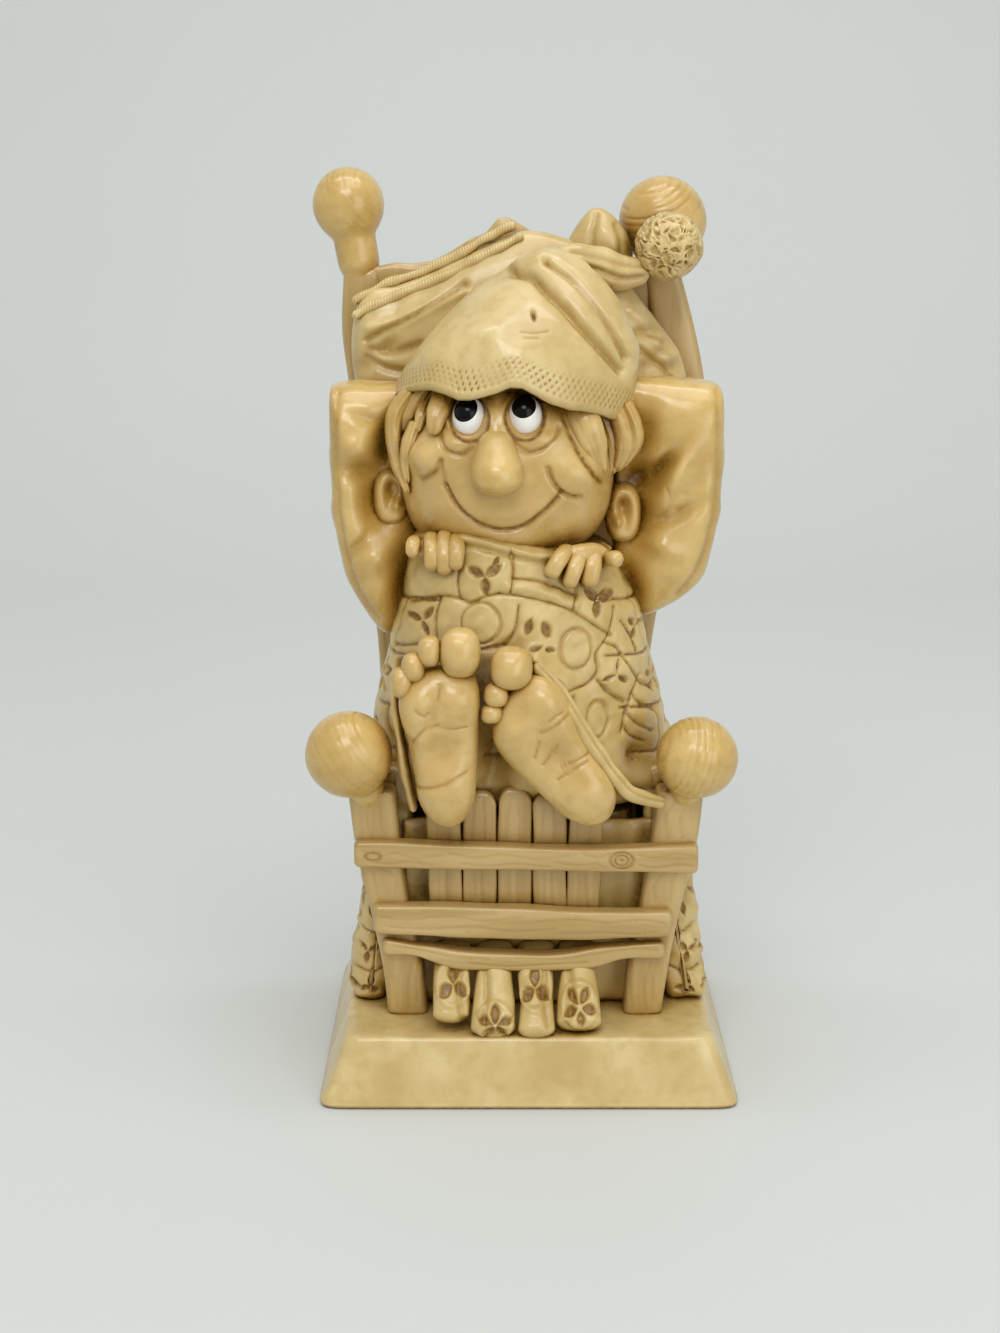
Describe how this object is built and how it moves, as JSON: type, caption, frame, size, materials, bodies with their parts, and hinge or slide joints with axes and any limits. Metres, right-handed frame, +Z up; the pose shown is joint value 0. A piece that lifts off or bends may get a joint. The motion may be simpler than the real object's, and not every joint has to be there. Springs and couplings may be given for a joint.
{
  "type": "bed sleeper figurine",
  "caption": "Shelf figurine of a sleeper in a nightcap, tucked under a patchwork quilt in a ball-post bed on a sloped plinth, cast in lacquered cream resin for display.",
  "frame": {"origin": "middle of the plinth's flat underside", "axes": "+Z up, +X to the right of someone who looks at the front, front towards -Y"},
  "size_m": [0.0651, 0.056, 0.1367],
  "materials": {
    "cream_resin": "lacquered, brown wash in the hollows",
    "amber_resin": "lacquered, warmer amber tone",
    "skin_resin": "lacquered",
    "quilt_resin": "lacquered, carved relief with brown wash",
    "eye_white": "gloss paint",
    "eye_black": "gloss paint"
  },
  "bodies": {
    "root": {"base_plinth": "cream_resin", "ear_left": "skin_resin", "ear_right": "skin_resin", "eye_left": "eye_white", "eye_right": "eye_white", "foot_left": "skin_resin", "foot_right": "skin_resin", "footboard_finial_left": "amber_resin", "footboard_finial_right": "amber_resin", "footboard_post_left": "cream_resin", "footboard_post_right": "cream_resin", "footboard_rail_bottom": "cream_resin", "footboard_rail_middle": "cream_resin", "footboard_rail_top": "cream_resin", "footboard_slat_1": "cream_resin", "footboard_slat_2": "cream_resin", "footboard_slat_3": "cream_resin", "footboard_slat_4": "cream_resin", "footboard_slat_5": "cream_resin", "hair_left": "cream_resin", "hair_right": "cream_resin", "hand_left": "skin_resin", "hand_right": "skin_resin", "head": "skin_resin", "headboard_finial_left": "amber_resin", "headboard_finial_right": "amber_resin", "headboard_panel": "cream_resin", "headboard_post_left": "cream_resin", "headboard_post_right": "cream_resin", "mattress": "cream_resin", "nightcap_band": "cream_resin", "nightcap_crown": "cream_resin", "nightcap_fold_1": "cream_resin", "nightcap_fold_2": "cream_resin", "nightcap_pompom": "cream_resin", "nightcap_tail": "cream_resin", "nose": "amber_resin", "pillow": "cream_resin", "pillow_cord_back": "cream_resin", "pillow_cord_front": "cream_resin", "pupil_left": "eye_black", "pupil_right": "eye_black", "quilt_border": "quilt_resin", "quilt_cover": "quilt_resin", "quilt_foot_drop": "quilt_resin", "quilt_hem_fold_1": "quilt_resin", "quilt_hem_fold_2": "quilt_resin", "quilt_hem_fold_3": "quilt_resin", "quilt_hem_fold_4": "quilt_resin", "quilt_side_left": "quilt_resin", "quilt_side_right": "quilt_resin", "sleeve_left": "amber_resin", "sleeve_right": "amber_resin", "toe_left_2": "skin_resin", "toe_left_3": "skin_resin", "toe_left_4": "skin_resin", "toe_left_big": "skin_resin", "toe_right_2": "skin_resin", "toe_right_3": "skin_resin", "toe_right_big": "skin_resin"}
  },
  "joints": []
}
